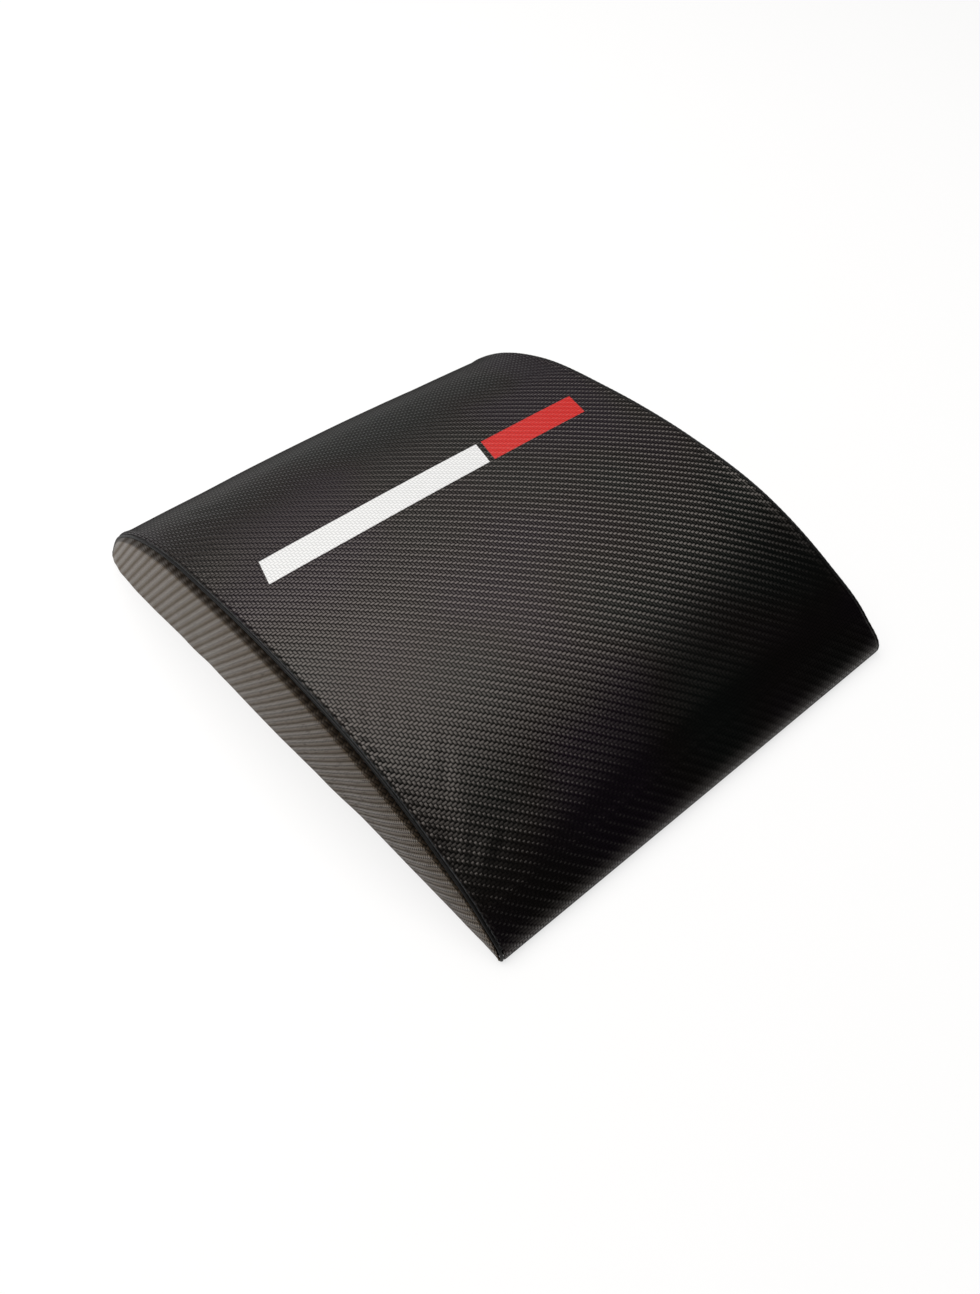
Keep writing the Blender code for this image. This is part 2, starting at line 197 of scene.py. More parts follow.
# Painted shade in the side panels' grooves: its strength, and how far it fades towards the rear, which
# paints the rear lighter
SIDE_SHADOW = 1.1
SIDE_SHADE_FADE = 0.8
SIDE_SHADE_FADE_PLACES = (-0.14, 0.17)
# Painted shade on the side panels' shoulder just under the seam: its dark share, where it lies, and its
# dark colour
SHOULDER_SHADOW = 0.45
SHOULDER_SHADOW_PLACES = (0.50, 0.85)
SHOULDER_SHADE_COLOUR = (0.0060, 0.0044, 0.0034)

# Print: a bar across the mat behind its crown, white with a red end
PRINT_WHITE = (0.86, 0.86, 0.85)
PRINT_RED = (0.62, 0.008, 0.006)
PRINT_ROUGHNESS = 0.08
PRINT_RELIEF_FILL = 0.5
PRINT_GROOVE_FILL = 0.7
PRINT_HALF_LENGTH = 0.119
PRINT_MIDDLE = 0.256
BAR_WIDTH = 0.020
BAR_SPLIT = 0.041
BAR_GAP = 0.004
BAR_SLANT = 0.30
PRINT_WEAR = 0.00025
PRINT_WEAR_SCALE = 900

# Base
BASE_COLUMNS = 60
BASE_CELL = 0.005
BASE_FEWEST_ROWS = 4
GRIP_DOT_RADIUS = 0.0013
GRIP_DOT_ROOT_SHARE = 0.72
GRIP_DOT_HEIGHT = 0.0006
GRIP_DOT_PITCH = 0.0065
GRIP_DOT_MARGIN = 0.0055
GRIP_DOT_ROUNDING_SHARE = 0.25
FABRIC_THICKNESS = BASE_TOP - GRIP_DOT_HEIGHT
FABRIC_THREAD = 0.0008
THREAD_RELIEF_SHARE = 0.12
THREAD_SHADE = 0.55
ZIP_STITCH_LENGTH = 0.0024
ZIP_STITCH_RADIUS = 0.00025
ZIP_STITCH_PITCH = 0.0032
ZIP_STITCH_MARGIN = 0.0025
ZIP_STITCH_END_MARGIN = 0.004
PATCH_GAP = 0.0001
PATCH_TOP_SHARE = 0.48
PATCH_ROUNDING = FABRIC_THICKNESS / 4

# Zip
COIL_PITCH = 0.0015
COIL_WIRE_SHARE = 0.16
COIL_FLATTENING = 0.62
STOP_ROUNDING = 0.0003
SLIDER_ROUNDING = 0.00018
TAB_ROUNDING = 0.0002

# Camera, fitted to the mat's outline
PHOTO_HEIGHT = 1294
FOCAL_PIXELS = 1072.13
VIEW_AZIMUTH = math.radians(-40.305)
VIEW_ELEVATION = math.radians(46.719)
VIEW_ROLL = math.radians(-1.337)
VIEW_DISTANCE = 0.6719
VIEW_RIGHT = -0.008403
VIEW_UP = 0.027279
SENSOR = 36.0

# Studio
SOFTBOX_WIDTH = 3.46
SOFTBOX_DEPTH = 4.06
SOFTBOX_PLACE = (-0.47, 1.03, 2.9)
SOFTBOX_POWER = 140
FRONT_LEVELS = (0.15, 0.015)
REAR_LEVELS = (0.42, 0.24)
HAZE_HEIGHT = 0.12
REARWARD_PLACES = (-0.2, 0.8)
FLOOR_SIZE = 40
FLOOR_LIT = (0.80, 0.79, 0.78)
FLOOR_SHOWN = (0.27, 0.265, 0.26)
FLOOR_GLOW = 0.72


def pick(*pieces):
    """Selects these pieces and nothing else."""
    bpy.ops.object.select_all(action="DESELECT")
    for piece in pieces:
        piece.select_set(True)
    bpy.context.view_layer.objects.active = pieces[0]


def apply_modifier(piece, kind, **settings):
    modifier = piece.modifiers.new(kind.lower(), kind)
    for name, value in settings.items():
        setattr(modifier, name, value)
    pick(piece)
    bpy.ops.object.modifier_apply(modifier=modifier.name)


def apply_place(piece):
    """The piece's place goes into its mesh, and its object stays at the origin."""
    pick(piece)
    bpy.ops.object.transform_apply(location=True, rotation=True, scale=True)


def edit(piece, *operators):
    """Runs these edit-mode operators on all of the piece."""
    pick(piece)
    bpy.ops.object.mode_set(mode="EDIT")
    bpy.ops.mesh.select_all(action="SELECT")
    for operator, settings in operators:
        operator(**settings)
    bpy.ops.object.mode_set(mode="OBJECT")


def face_outwards(piece):
    edit(piece, (bpy.ops.mesh.normals_make_consistent, {"inside": False}))


def shade(piece, degrees=35):
    pick(piece)
    bpy.ops.object.shade_smooth_by_angle(angle=math.radians(degrees))


def name_piece(piece, name):
    piece.name = name
    piece.data.name = name
    return piece


def add_piece(name, operator, **settings):
    """A new piece from one of the mesh operators."""
    bpy.ops.object.select_all(action="DESELECT")
    operator(**settings)
    return name_piece(bpy.context.object, name)


def node_copy(node, name):
    """A new piece with the shape of this node of the model."""
    piece = bpy.data.objects.new(name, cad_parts[node].data.copy())
    bpy.context.scene.collection.objects.link(piece)
    return name_piece(piece, name)


def join(name, pieces):
    pick(*pieces)
    bpy.ops.object.join()
    return name_piece(bpy.context.object, name)


def repeat(piece, count, step):
    """Makes the piece a row of this many, each moved on from the last by the step."""
    apply_modifier(
        piece, "ARRAY", count=count, use_relative_offset=False,
        use_constant_offset=True, constant_offset_displace=step,
    )


def thicken_inwards(piece):
    apply_modifier(piece, "SOLIDIFY", thickness=VINYL, offset=-1, use_even_offset=True)


def grid_piece(name, cells, place):
    """A grid whose points are placed by their shares across and along it, with its flat cut as a UV map."""
    across, along = cells
    settings = {"x_subdivisions": across, "y_subdivisions": along, "size": 1}
    piece = add_piece(name, bpy.ops.mesh.primitive_grid_add, **settings)
    mesh = piece.data
    flat = []
    for vertex in mesh.vertices:
        point, cut = place(vertex.co.x + 0.5, vertex.co.y + 0.5)
        vertex.co = point
        flat.append(cut)
    layer = mesh.uv_layers[0]
    layer.name = "cut"
    for loop in mesh.loops:
        layer.data[loop.index].uv = flat[loop.vertex_index]
    return piece


def between(share, low, high):
    return low + (high - low) * share


def eased(share):
    share = min(max(share, 0), 1)
    return share * share * (3 - 2 * share)


def read_curve(places, values, place):
    """The value at this place on a smooth line through the values."""
    if place <= places[0]:
        return values[0]
    for index in range(len(places) - 1):
        if place <= places[index + 1]:
            share = (place - places[index]) / (places[index + 1] - places[index])
            return between(eased(share), values[index], values[index + 1])
    return values[-1]


class Profile:
    """The mat's outline at mid-width, read by distance from the front hem over the arch."""

    def __init__(self, points):
        self.points = points
        self.reached = [0.0]
        for before, after in zip(points, points[1:]):
            self.reached.append(self.reached[-1] + (after - before).length)
        self.length = self.reached[-1]

    def point(self, distance):
        distance = min(max(distance, 0), self.length)
        place = min(bisect.bisect_right(self.reached, distance), len(self.points) - 1)
        before, after = self.points[place - 1], self.points[place]
        share = (distance - self.reached[place - 1]) / (self.reached[place] - self.reached[place - 1])
        return before.lerp(after, share)

    def outward(self, distance, span=0.0012):
        """The direction square to the outline, out of the mat."""
        along = self.point(distance + span) - self.point(distance - span)
        return Vector((0, -along.z, along.y)).normalized()


def rolled_edge(end_y, inward, depth):
    """Points from the hem out and up to the mat's end, where the cover rolls under."""
    points = []
    for step in range(ROLL_STEPS):
        angle = math.pi / 2 * step / ROLL_STEPS
        y = end_y + inward * depth * (1 - math.sin(angle))
        points.append(Vector((0, y, between(1 - math.cos(angle), HEM_LIFT, ROLL_HEIGHT))))
    return points


def mat_profile():
    knots = [Vector((0, -HALF_LENGTH, ROLL_HEIGHT))]
    for length_share, height_share in ARCH_SHARES:
        knots.append(Vector((0, length_share * MAT_LENGTH, height_share * MAT_HEIGHT)))
    knots.append(Vector((0, HALF_LENGTH, ROLL_HEIGHT)))
    up = Vector((0, 0, 1))
    headings = [up]
    for before, knot, after in zip(knots, knots[1:], knots[2:]):
        step_in, step_out = knot - before, after - knot
        turn = step_in.normalized() * step_out.length + step_out.normalized() * step_in.length
        headings.append(turn.normalized())
    headings.append(-up)
    front = rolled_edge(-HALF_LENGTH, 1, LIP_ROLL_DEPTH)
    arch = []
    for index in range(len(knots) - 1):
        start, end = knots[index], knots[index + 1]
        reach = (end - start).length / 3
        leaving = start + headings[index] * reach
        arriving = end - headings[index + 1] * reach
        arch += interpolate_bezier(start, leaving, arriving, end, SPAN_STEPS + 1)[:-1]
    rear = rolled_edge(HALF_LENGTH, -1, NOSE_ROLL_DEPTH)
    return Profile(front + arch + [knots[-1]] + rear[::-1])


PROFILE = mat_profile()
FRONT_ROLL = math.hypot(LIP_ROLL_DEPTH, ROLL_HEIGHT) * LIP_ROLL_OVER_CHORD
REAR_ROLL = math.hypot(NOSE_ROLL_DEPTH, ROLL_HEIGHT) * NOSE_ROLL_OVER_CHORD


def form(point):
    """How much of the cushion form shows here, from 0 at the base edges to 1 on the arch."""
    return math.sin(math.pi / 2 * min(max(point.z - HEM_LIFT, 0) / FULL_FORM_HEIGHT, 1))


def top_depth(x):
    """How far the top lies under the outline of mid-width, on the arch."""
    rolled = max(abs(x) - (SEAM_X - EDGE_ROLL_WIDTH), 0) / EDGE_ROLL_WIDTH
    return CROWN_RISE * (x / SEAM_X) ** 2 + EDGE_ROLL * rolled**2


def top_relief(x, distance):
    """Small unevenness of the vinyl: shallow dents in the foam, and puckers beside the seams."""
    dent = noise.noise(Vector((x / DENT_SIZE, distance / DENT_SIZE, DENT_NOISE_LAYER)))
    from_seam = (TOP_EDGE_X - abs(x)) / PUCKER_REACH
    side = math.copysign(PUCKER_NOISE_SIDE, x)
    wave = noise.noise(Vector((distance / PUCKER_PITCH, side, PUCKER_NOISE_LAYER)))
    fold = max(abs(x) - (TOP_EDGE_X - SEAM_FOLD_WIDTH), 0) / SEAM_FOLD_WIDTH
    fade = min(from_seam * PUCKER_FADE, 1)
    return DENT * dent + PUCKER * wave * math.exp(-from_seam) * fade - SEAM_FOLD * fold**2


def top_cut(across, along):
    """A grid point's place on the flat cut, in columns that crowd towards the seams."""
    share = 2 * across - 1
    return TOP_EDGE_X * (share + math.sin(math.pi / 2 * share)) / 2, along * PROFILE.length


def top_slack(x, distance):
    """How far under its full form the cover starts, before it is filled out."""
    from_hem = min(distance, PROFILE.length - distance)
    inside = min(TOP_EDGE_X - abs(x) - HELD_RIM, from_hem - HELD_HEM)
    return SLACK * eased(inside / SLACK_SPREAD)


def top_place(across, along, lift=0.0):
    x, distance = top_cut(across, along)
    point = PROFILE.point(distance)
    height = form(point)
    raised = (top_relief(x, distance) - top_depth(x) + lift) * height
    point = point + PROFILE.outward(distance) * raised
    return Vector((x, point.y, point.z)), (x, distance)


def seam_point(distance):
    """The middle of the left welt."""
    point = PROFILE.point(distance)
    depth = between(form(point), WELT_RADIUS, top_depth(TOP_EDGE_X) + WELT_SINK)
    point = point - PROFILE.outward(distance) * depth
    return Vector((-SEAM_X, point.y, point.z))


def foot_reach(y):
    """How far the side panel's foot stands out from the seam."""
    reach = read_curve(FOOT_PLACE_SHARES, FOOT_REACHES, y / MAT_LENGTH)
    return reach + FOOT_WAVE * noise.noise(Vector((y / FOOT_WAVE_PITCH, FOOT_NOISE_LAYER, 0)))


def side_place(along, down):
    """A point on the left side panel, along from front to rear and down from the seam to its foot.

    With it come its place on the flat cut, and how far down the shoulder it lies, in shoulder depths.
    """
    distance = between(along, FRONT_ROLL, PROFILE.length - REAR_ROLL)
    middle = PROFILE.point(distance)
    shown = form(middle)
    tuck = between(shown, 1, SEAM_TUCK_SHARE)
    top = seam_point(distance) - PROFILE.outward(distance) * WELT_RADIUS * tuck
    height = top.z - HEM_LIFT
    low, high = FULL_SHOULDER_HEIGHTS
    fullness = eased((height - low) / (high - low))
    start = between(shown, SIDE_END_REACH, SIDE_START)
    reach = between(fullness, SIDE_END_REACH, SIDE_REACH)
    shoulder = min(between(fullness, SHOULDER_END_DEPTH, SHOULDER_DEPTH), height / 2)
    if down < SHOULDER_SPREAD_SHARE:
        share = down / SHOULDER_SPREAD_SHARE
        out = between((1 - share) ** 2, reach, start)
        drop = shoulder * (2 * share * (1 - share) * SHOULDER_BEND_SHARE + share**2)
    else:
        share = (down - SHOULDER_SPREAD_SHARE) / (1 - SHOULDER_SPREAD_SHARE)
        drop = between(share, shoulder, height)
        belly = BELLY * math.sin(math.pi * share) * shown
        out = between(share**FOOT_SWEEP, reach, foot_reach(top.y)) + belly
    first, last = PROFILE.points[0].y, PROFILE.points[-1].y
    foot_y = between(along_base(top.y), first, last)
    y = between(math.sqrt(max(1 - (drop / height) ** 2, 0)), foot_y, top.y)
    return Vector((-SEAM_X - out, y, top.z - drop)), (y, top.z - drop), drop / shoulder


def along_base(y):
    """This place's share of the way between the side panel's ends."""
    first = seam_point(FRONT_ROLL).y + WELT_RADIUS
    last = seam_point(PROFILE.length - REAR_ROLL).y - WELT_RADIUS
    return min(max((y - first) / (last - first), 0), 1)


def mirror_across(piece, name):
    """A copy of the piece on the mat's other side."""
    pick(piece)
    bpy.ops.object.duplicate()
    copy = name_piece(bpy.context.object, name)
    copy.data.transform(Matrix.Diagonal((-1, 1, 1, 1)))
    copy.data.flip_normals()
    return copy


class Number:
    """A shader value that takes Python's own arithmetic."""

    def __init__(self, shader, socket):
        self.shader = shader
        self.socket = socket

    def math(self, operation, *values):
        node = self.shader.node("ShaderNodeMath", {"operation": operation}, values)
        return Number(self.shader, node.outputs[0])

    def __add__(self, other):
        return self.math("ADD", self, other)

    def __sub__(self, other):
        return self.math("SUBTRACT", self, other)

    def __rsub__(self, other):
        return self.math("SUBTRACT", other, self)

    def __mul__(self, other):
        return self.math("MULTIPLY", self, other)

    def __truediv__(self, other):
        return self.math("DIVIDE", self, other)

    def __mod__(self, other):
        return self.math("FLOORED_MODULO", self, other)

    def __lt__(self, other):
        return self.math("LESS_THAN", self, other)

    def __gt__(self, other):
        return self.math("GREATER_THAN", self, other)

    __radd__ = __add__
    __rmul__ = __mul__

    def floor(self):
        return self.math("FLOOR", self)

    def sine(self):
        return self.math("SINE", self)

    def cosine(self):
        return self.math("COSINE", self)

    def size(self):
        return self.math("ABSOLUTE", self)

    def largest(self, other):
        return self.math("MAXIMUM", self, other)


class Shader:
    """A node tree, and the few ways in which the finishes below add to it."""

    def __init__(self, tree):
        self.tree = tree

    def node(self, kind, settings=None, inputs=()):
        """A node of this kind. Settings come first; inputs go by their place or name."""
        node = self.tree.nodes.new(kind)
        for name, value in (settings or {}).items():
            if name == "stops":
                self.set_stops(node.color_ramp, value)
            else:
                setattr(node, name, value)
        named = inputs.items() if isinstance(inputs, dict) else enumerate(inputs)
        for place, value in named:
            self.feed(node.inputs[place], value)
        return node

    def set_stops(self, ramp, stops):
        while len(ramp.elements) < len(stops):
            ramp.elements.new(1)
        for element, (place, colour) in zip(ramp.elements, stops):
            element.position = place
            element.color = (*colour, 1)

    def feed(self, socket, value):
        if isinstance(value, Number):
            value = value.socket
        if isinstance(value, bpy.types.NodeSocket):
            self.tree.links.new(value, socket)
        elif socket.type == "RGBA" and len(value) == 3:
            socket.default_value = (*value, 1)
        else:
            socket.default_value = value

    def mix(self, share, first, second):
        node = self.node("ShaderNodeMix", {"data_type": "RGBA"}, {0: share, 6: first, 7: second})
        return node.outputs[2]

    def step(self, value, start, end):
        """A soft rise from 0 at the start to 1 at the end."""
        settings = {"interpolation_type": "SMOOTHSTEP"}
        inputs = {"Value": value, "From Min": start, "From Max": end}
        return Number(self, self.node("ShaderNodeMapRange", settings, inputs).outputs[0])

    def noise(self, vector, scale, detail=2.0):
        inputs = {"Vector": vector, "Scale": scale, "Detail": detail}
        return Number(self, self.node("ShaderNodeTexNoise", None, inputs).outputs[0])

    def split(self, vector):
        """The three parts of a vector."""
        parts = self.node("ShaderNodeSeparateXYZ", None, (vector,)).outputs
        return [Number(self, part) for part in parts]

    def object_place(self):
        return self.node("ShaderNodeTexCoord").outputs["Object"]

    def cut_place(self):
        """The place on the panel's flat cut, in metres."""
        return self.node("ShaderNodeUVMap", {"uv_map": "cut"}).outputs[0]


class Finish(Shader):
    """A material. Numbers that are the same all over are set on the shader's own sockets."""

    def __init__(self, name, **uniform):
        self.material = bpy.data.materials.new(name)
        self.material.use_nodes = True
        super().__init__(self.material.node_tree)
        self.surface = self.tree.nodes["Principled BSDF"]
        for socket, value in uniform.items():
            self.feed(self.surface.inputs[socket.replace("_", " ")], value)

    def put(self, socket, value):
        self.feed(self.surface.inputs[socket], value)

    def shadow(self, share):
        """Lets this share of the surface go dark, as deep grooves do."""
        dark = self.node("ShaderNodeBsdfDiffuse", None, {"Color": DEEP_SHADOW})
        mixed = self.node("ShaderNodeMixShader", None, (share, self.surface.outputs[0], dark.outputs[0]))
        self.feed(self.tree.nodes["Material Output"].inputs["Surface"], mixed.outputs[0])

    def bump(self, height, depth):
        """Relief of this depth in metres from a height of 0 to 1."""
        inputs = {"Height": height, "Distance": depth, "Strength": 1.0}
        self.put("Normal", self.node("ShaderNodeBump", None, inputs).outputs[0])

    def tilt(self, rise_along_u, rise_along_v):
        """Relief from its own slopes along the panel's flat cut, coded as a normal map's colour."""
        inputs = (0.5 - rise_along_u * 0.5, 0.5 - rise_along_v * 0.5, 1.0)
        colour = self.node("ShaderNodeCombineColor", None, inputs).outputs[0]
        settings = {"space": "TANGENT", "uv_map": "cut"}
        normal = self.node("ShaderNodeNormalMap", settings, {"Color": colour})
        self.put("Normal", normal.outputs[0])


def twill(finish, u, v):
    """A two-and-two twill, by place in yarns: its slopes along u and v, and where its grooves lie."""
    column, row = u.floor(), v.floor()
    across_warp, across_weft = u - column, v - row
    warp_phase = (column + v) % TWILL_REPEAT
    weft_phase = (u + row + TWILL_REPEAT / 2) % TWILL_REPEAT
    warp_up = (column + row) % TWILL_REPEAT < TWILL_REPEAT / 2
    weft_up = 1 - warp_up
    phase_turn = 2 * math.pi / TWILL_REPEAT
    warp_dive = (warp_phase * phase_turn).cosine()
    weft_dive = (weft_phase * phase_turn).cosine()
    warp_round = 1 - across_warp * 2
    weft_round = 1 - across_weft * 2
    filament_turn = 2 * math.pi * FILAMENTS
    warp_lines = (across_warp * filament_turn).cosine()
    weft_lines = (across_weft * filament_turn).cosine()
    warp_across = warp_round * WARP_EDGE_SLOPE + warp_lines * FILAMENT_SLOPE
    weft_across = weft_round * WEFT_EDGE_SLOPE + weft_lines * FILAMENT_SLOPE
    warp_along = warp_dive * warp_dive.size() * FLOAT_END_SLOPE
    weft_along = weft_dive * weft_dive.size() * FLOAT_END_SLOPE
    rise_u = warp_up * warp_across + weft_up * (weft_along + WEFT_LEAN)
    rise_v = warp_up * warp_along + weft_up * weft_across
    edge = warp_up * warp_round.size() + weft_up * weft_round.size()
    end = warp_up * (warp_phase - 1).size() + weft_up * (weft_phase - 1).size()
    groove = finish.step(edge, GROOVE_START, 1).largest(finish.step(end, FLOAT_END_START, 1))
    return rise_u, rise_v, groove


def print_masks(finish, x, distance):
    """Where the bar's white and its red part lie, with slanted ends and slightly worn edges."""
    worn = (finish.noise(finish.object_place(), PRINT_WEAR_SCALE) - 0.5) * PRINT_WEAR
    across = distance - PRINT_MIDDLE + worn
    along = x - across * BAR_SLANT + worn
    bar = (across.size() < BAR_WIDTH / 2) * (along.size() < PRINT_HALF_LENGTH)
    return bar * (along < BAR_SPLIT - BAR_GAP / 2), bar * (along > BAR_SPLIT + BAR_GAP / 2)


class EmbossedVinyl(Finish):
    """Vinyl embossed with a carbon twill, by place on its panel's flat cut."""

    def __init__(self, name, tints, sheen):
        super().__init__(name, IOR=VINYL_IOR, Specular_Tint=sheen)
        self.u, self.v, _ = self.split(self.cut_place())
        self.rise_u, self.rise_v, self.groove = twill(self, self.u / YARN, self.v / YARN)
        place = self.object_place()
        tint = self.noise(place, TINT_SCALE, detail=1)
        self.colour = self.node("ShaderNodeValToRGB", {"stops": tints}, (tint,)).outputs[0]
        change = self.noise(place, ROUGHNESS_SCALE, detail=3) * ROUGHNESS_CHANGE
        self.roughness = VINYL_ROUGHNESS + change


def top_vinyl():
    """Black vinyl with the printed bar. Its twill lies flatter where it is pulled over the front lip."""
    finish = EmbossedVinyl("top_vinyl", TOP_TINTS, TOP_SHEEN)
    x, distance = finish.u, finish.v
    white, red = print_masks(finish, x, distance)
    painted = white + red
    colour = finish.mix(white, finish.colour, PRINT_WHITE)
    colour = finish.mix(red, colour, PRINT_RED)
    leaned = distance - x * LIP_LEAN
    relief = finish.step(leaned, *LIP_RELIEF_PLACES) * (1 - LIP_RELIEF) + LIP_RELIEF
    relief = relief * (1 - painted * PRINT_RELIEF_FILL)
    finish.put("Base Color", colour)
    finish.put("Roughness", finish.roughness + painted * PRINT_ROUGHNESS)
    finish.tilt(finish.rise_u * relief, finish.rise_v * relief)
    weight = finish.node("ShaderNodeLayerWeight", None, {"Blend": 0.5})
    facing = Number(finish, weight.outputs["Facing"])
    grazing = finish.step(facing, GRAZING_START, 1) * GRAZING_SHADOW
    lip = finish.step(distance, *LIP_SHADOW_START) * (1 - finish.step(leaned, *LIP_SHADOW_END))
    groove = finish.groove * (1 - painted * PRINT_GROOVE_FILL) * GROOVE_SHADOW
    finish.shadow(groove.largest(grazing).largest(lip * LIP_SHADOW))
    return finish.material


def side_vinyl():
    """Black vinyl coloured taupe as a painted reflection of the pale floor, with fine streaks.

    The painted shade in its grooves and streaks fades to the rear, so the rear is painted lighter,
    and the shoulder under the seam is darkened with painted shade.
    """
    finish = EmbossedVinyl("side_vinyl", SIDE_FLOOR_REFLECTION_TINTS, SIDE_FLOOR_REFLECTION_SHEEN)
    y, height = finish.u, finish.v
    measured = finish.node("ShaderNodeAttribute", {"attribute_name": "down_shoulder"})
    down = Number(finish, measured.outputs["Fac"])
    # Painted shade on the shoulder just under the seam
    shoulder = 1 - finish.step(down, *SHOULDER_SHADOW_PLACES)
    # The painted groove and streak shade weakens towards the rear, so the rear is painted lighter
    strength = SIDE_SHADOW - finish.step(y, *SIDE_SHADE_FADE_PLACES) * SIDE_SHADE_FADE
    inputs = ((y + height) / STREAK_WIDTH, (y - height) / STREAK_LENGTH, 0.0)
    stretched = finish.node("ShaderNodeCombineXYZ", None, inputs).outputs[0]
    lines = finish.noise(stretched, scale=1, detail=1)
    streaks = finish.step(lines, *STREAK_LEVELS) * STREAK_SHADOW
    finish.put("Base Color", finish.mix(shoulder, finish.colour, SHOULDER_SHADE_COLOUR))
    finish.put("Roughness", finish.roughness)
    finish.tilt(finish.rise_u, finish.rise_v)
    weave = (finish.groove * GROOVE_SHADOW).largest(streaks) * strength
    finish.shadow(weave.largest(shoulder * SHOULDER_SHADOW))
    return finish.material


def speckled(name, scale, dark, pale, detail=2.0, depth=None, roughness=None, **uniform):
    """A finish whose colour follows fine specks, as do its relief and its range of roughness, if any."""
    finish = Finish(name, **uniform)
    specks = finish.noise(finish.object_place(), scale, detail)
    finish.put("Base Color", finish.mix(specks, dark, pale))
    if roughness:
        low, high = roughness
        finish.put("Roughness", low + specks * (high - low))
    if depth:
        finish.bump(specks, depth)
    return finish.material


def piping_vinyl():
    """Plain black vinyl with a fine grain."""
    return speckled(
        "piping_vinyl", scale=1400, dark=(0.0022, 0.0019, 0.0018), pale=(0.0040, 0.0034, 0.0032),
        depth=0.00004, roughness=(0.46, 0.56), IOR=1.5, Specular_IOR_Level=0.22,
    )


def grip_rubber():
    return speckled(
        "grip_rubber", scale=700, dark=(0.012, 0.012, 0.013), pale=(0.024, 0.024, 0.025),
        depth=0.00005, Roughness=0.62,
    )


def coil_nylon():
    return speckled(
        "coil_nylon", scale=300, dark=(0.014, 0.014, 0.015), pale=(0.026, 0.026, 0.028),
        Roughness=0.33,
    )


def painted_zinc():
    """Black painted zinc, rubbed a little lighter in places."""
    return speckled(
        "painted_zinc", scale=420, dark=(0.030, 0.030, 0.032), pale=(0.095, 0.095, 0.10), detail=4,
        depth=0.00003, roughness=(0.28, 0.48), Metallic=0.6,
    )


def open_foam():
    finish = Finish("open_foam", Roughness=0.95)
    inputs = {"Vector": finish.object_place(), "Scale": 900.0}
    pores = Number(finish, finish.node("ShaderNodeTexVoronoi", None, inputs).outputs[0])
    # Darker in the pores: painted shade
    finish.put("Base Color", finish.mix(pores, (0.10, 0.10, 0.105), (0.24, 0.24, 0.25)))
    finish.bump(pores, depth=0.0003)
    return finish.material


def woven_fabric(name, colour):
    """A plain weave of fine threads."""
    finish = Finish(name, Roughness=0.85)
    x, y, _ = finish.split(finish.object_place())
    turn = 2 * math.pi / FABRIC_THREAD
    weave = (x * turn).sine() * (y * turn).sine() * 0.5 + 0.5
    dark = tuple(part * THREAD_SHADE for part in colour)
    finish.put("Base Color", finish.mix(weave, dark, colour))
    finish.bump(weave, FABRIC_THREAD * THREAD_RELIEF_SHARE)
    return finish.material


def slant_ribbed(name, slant, pitch, dark, pale, depth, **uniform):
    """A finish of fine ribs that cross the piece on a slant."""
    finish = Finish(name, **uniform)
    x, y, _ = finish.split(finish.object_place())
    ribs = ((x * slant + y) * (2 * math.pi / pitch)).sine() * 0.5 + 0.5
    # Darker in the hollows between the ribs: painted shade
    finish.put("Base Color", finish.mix(ribs, dark, pale))
    finish.bump(ribs, depth)
    return finish.material


def zip_tape():
    """Twilled polyester tape."""
    return slant_ribbed(
        "zip_tape", slant=1, pitch=0.0009, dark=(0.008, 0.008, 0.009), pale=(0.020, 0.020, 0.021),
        depth=0.00012, Roughness=0.8,
    )


def sewing_thread():
    return slant_ribbed(
        "sewing_thread", slant=2, pitch=0.0006, dark=(0.010, 0.010, 0.011), pale=(0.030, 0.030, 0.032),
        depth=0.00006, Roughness=0.6,
    )


def set_finish(piece, material):
    piece.data.materials.clear()
    piece.data.materials.append(material)


def dress(piece, material, slot, body, *nodes):
    """The piece's finish, its body and the nodes that it stands for; its record slot is not used."""
    set_finish(piece, material)
    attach(piece, body)
    if nodes:
        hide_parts(*nodes)
    return piece


def fill_out(piece):
    """Runs the piece as cloth under a light pressure, held at its rim, and applies it."""
    held = piece.vertex_groups.new(name="held")
    rim = TOP_EDGE_X - HELD_RIM
    for vertex in piece.data.vertices:
        if abs(vertex.co.x) > rim or vertex.co.z < ROLL_HEIGHT:
            held.add([vertex.index], 1.0, "REPLACE")
    cloth = piece.modifiers.new("cloth", "CLOTH")
    cloth.settings.vertex_group_mass = held.name
    cloth.settings.quality = CLOTH_QUALITY
    cloth.settings.mass = CLOTH_MASS
    cloth.settings.use_pressure = True
    cloth.settings.uniform_pressure_force = CLOTH_PRESSURE
    cloth.settings.effector_weights.gravity = 0
    cloth.collision_settings.use_collision = False
    for number in range(1, CLOTH_FRAMES + 1):
        bpy.context.scene.frame_set(number)
    pick(piece)
    bpy.ops.object.modifier_apply(modifier=cloth.name)
    bpy.context.scene.frame_set(1)


def cover_lifts():
    """How far under its full form the cover stays once cloth has filled it out, by rows of a coarse grid.

    The foam under it stops any move inwards, and its own cut any move past its full form.
    """
    columns, rows = CLOTH_CELLS
    cells, slacks = [], []

    def place(across, along):
        cells.append((round(across * columns), round(along * rows)))
        slacks.append(top_slack(*top_cut(across, along)))
        return top_place(across, along, -slacks[-1])

    trial = grid_piece("trial_cover", CLOTH_CELLS, place)
    before = [(vertex.co.copy(), vertex.normal.copy()) for vertex in trial.data.vertices]
    fill_out(trial)
    lifts = [[0.0] * (columns + 1) for _ in range(rows + 1)]
    places = zip(trial.data.vertices, before, cells, slacks)
    for vertex, (start, outward), (column, row), slack in places:
        moved = (vertex.co - start).dot(outward)
        lifts[row][column] = min(max(moved, 0), slack) - slack
    bpy.data.objects.remove(trial)
    return lifts


